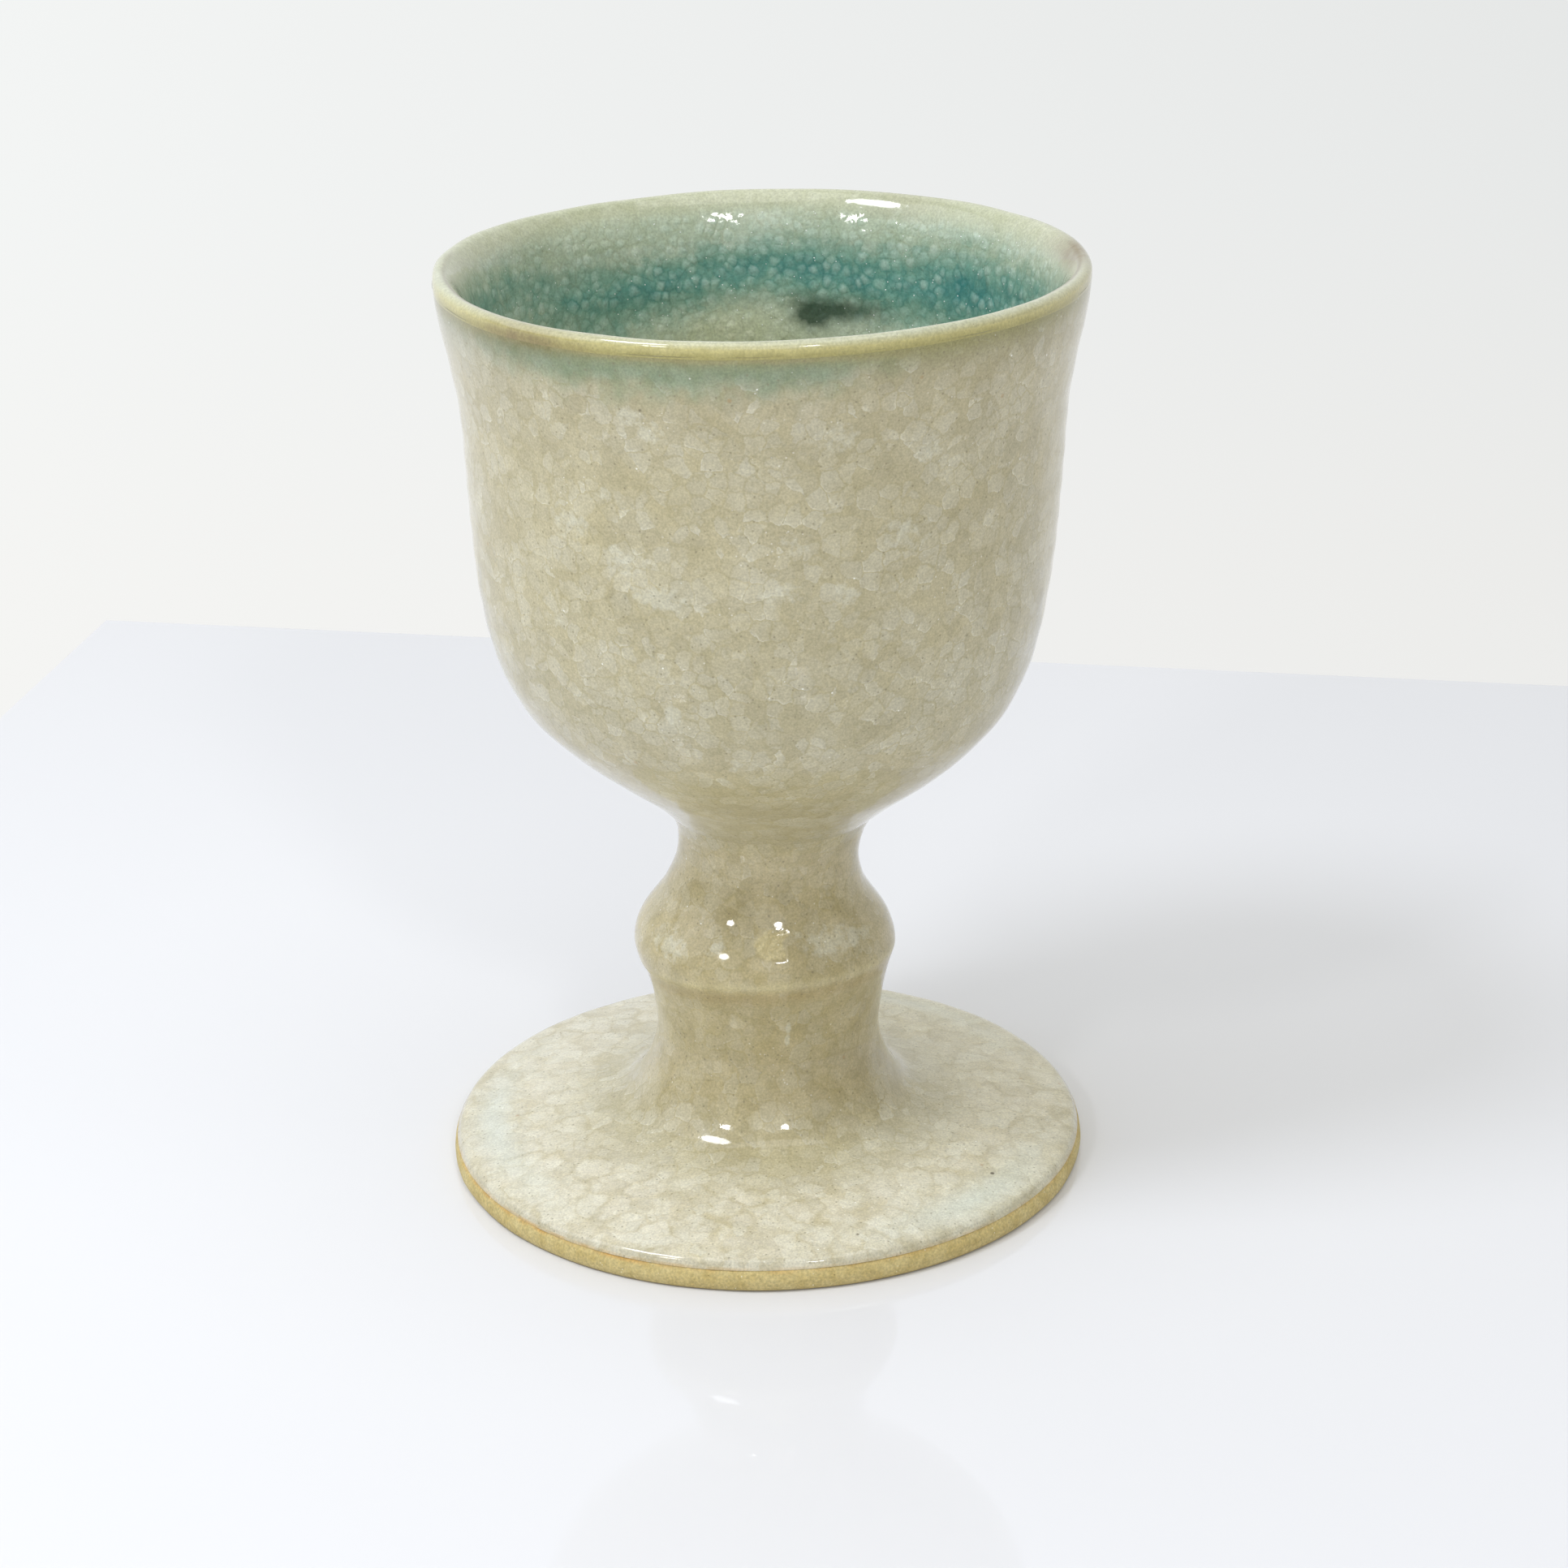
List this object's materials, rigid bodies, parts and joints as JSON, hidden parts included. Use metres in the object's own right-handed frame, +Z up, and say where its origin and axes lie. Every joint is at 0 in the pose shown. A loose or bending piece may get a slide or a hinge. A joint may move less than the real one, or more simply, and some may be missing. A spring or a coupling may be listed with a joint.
{
  "type": "communion chalice",
  "caption": "Stemmed stoneware communion cup: round-bottomed bowl with a flared lip, short knopped stem and wide disc foot, crackle glazed, turquoise inside.",
  "frame": {"origin": "centre of the foot's underside, on the surface the chalice stands on", "axes": "+Z up through the mouth; +X to the viewer's right and -Y towards the viewer, the side on which the glaze chip on the knop is"},
  "size_m": [0.1062, 0.1062, 0.1522],
  "materials": {
    "stoneware": "bare fired stoneware, matt, warm ochre with fine dark specks",
    "luting_slip": "matt fired slip, hidden in the joints",
    "turquoise_glaze": "glossy turquoise to ivory crackle glaze over the inside and the lip",
    "ivory_glaze": "glossy greyish ivory crackle glaze with layered flakes and small specks"
  },
  "bodies": {
    "root": {"bowl": "stoneware", "stem_knop": "stoneware", "foot": "stoneware", "slip_joint_bowl": "luting_slip", "slip_joint_knop": "luting_slip", "liner_glaze": "turquoise_glaze", "outer_glaze": "ivory_glaze"}
  },
  "joints": []
}
